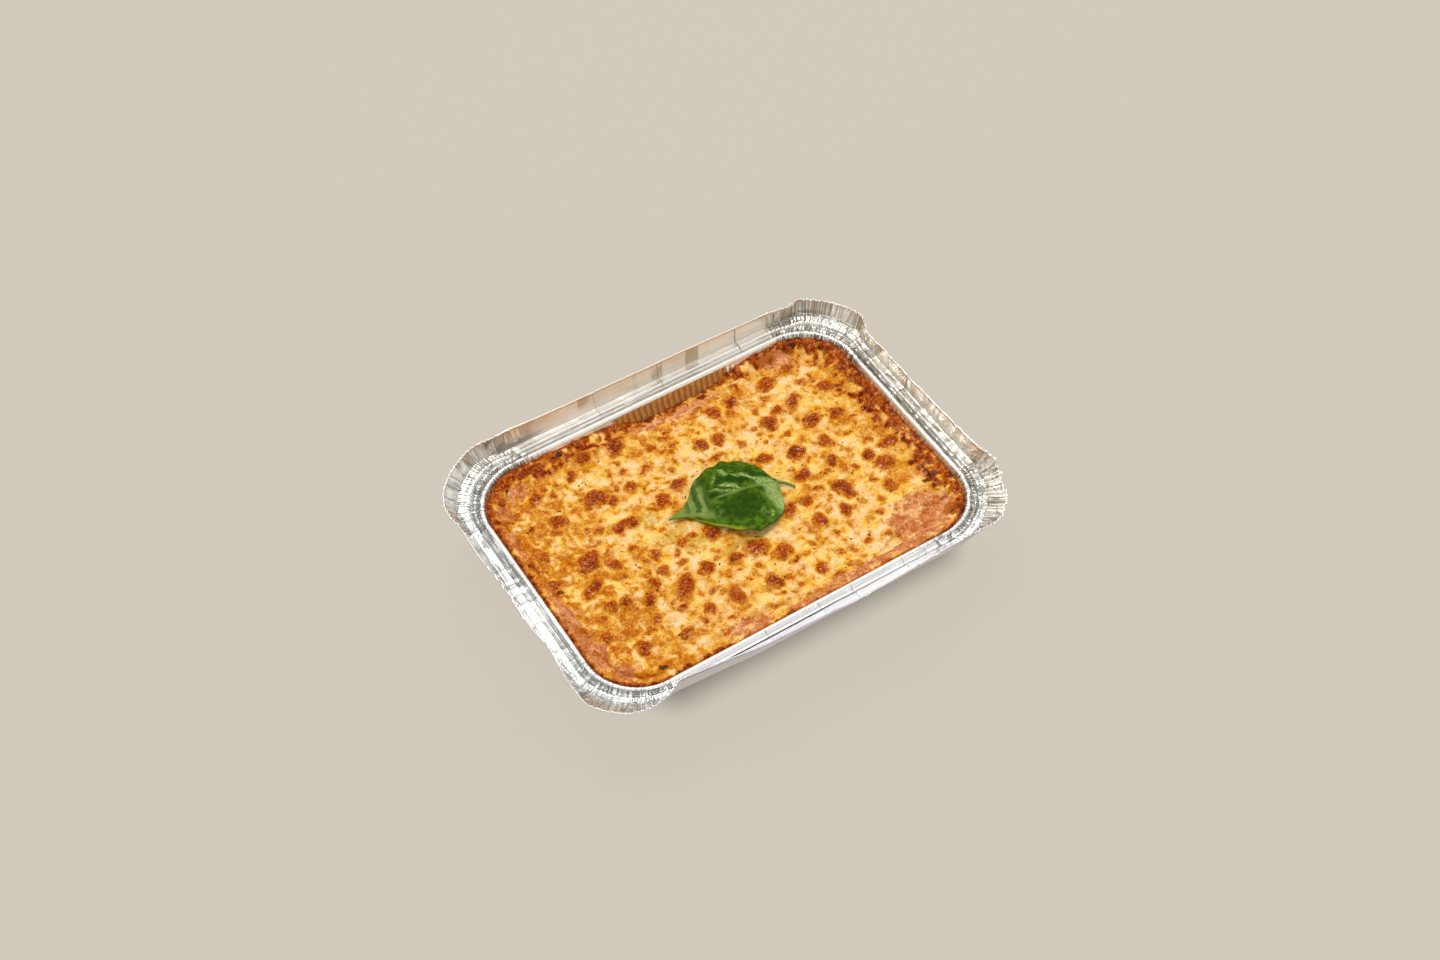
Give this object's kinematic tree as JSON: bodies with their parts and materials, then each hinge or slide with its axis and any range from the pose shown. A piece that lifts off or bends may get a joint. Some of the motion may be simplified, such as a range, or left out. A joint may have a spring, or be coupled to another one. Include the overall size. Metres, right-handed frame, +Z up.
{
  "type": "foil tray meal",
  "caption": "Baked pasta with browned cheese and a basil leaf in an open aluminium foil tray.",
  "frame": {"origin": "middle of the tray's floor, on the surface that the tray stands on", "axes": "+X along the tray's long side, +Z up, out of the tray's open top"},
  "size_m": [0.2255, 0.1666, 0.0458],
  "materials": {
    "foil": "bright crinkled foil",
    "tomato_sauce": "moist, oily sauce",
    "baked_cheese": "melted and browned, with an oily sheen",
    "basil_green": "waxy leaf"
  },
  "bodies": {
    "root": {"foil_tray": "foil", "lasagne_filling": "tomato_sauce", "cheese_topping": "baked_cheese", "basil_leaf": "basil_green"}
  },
  "joints": []
}
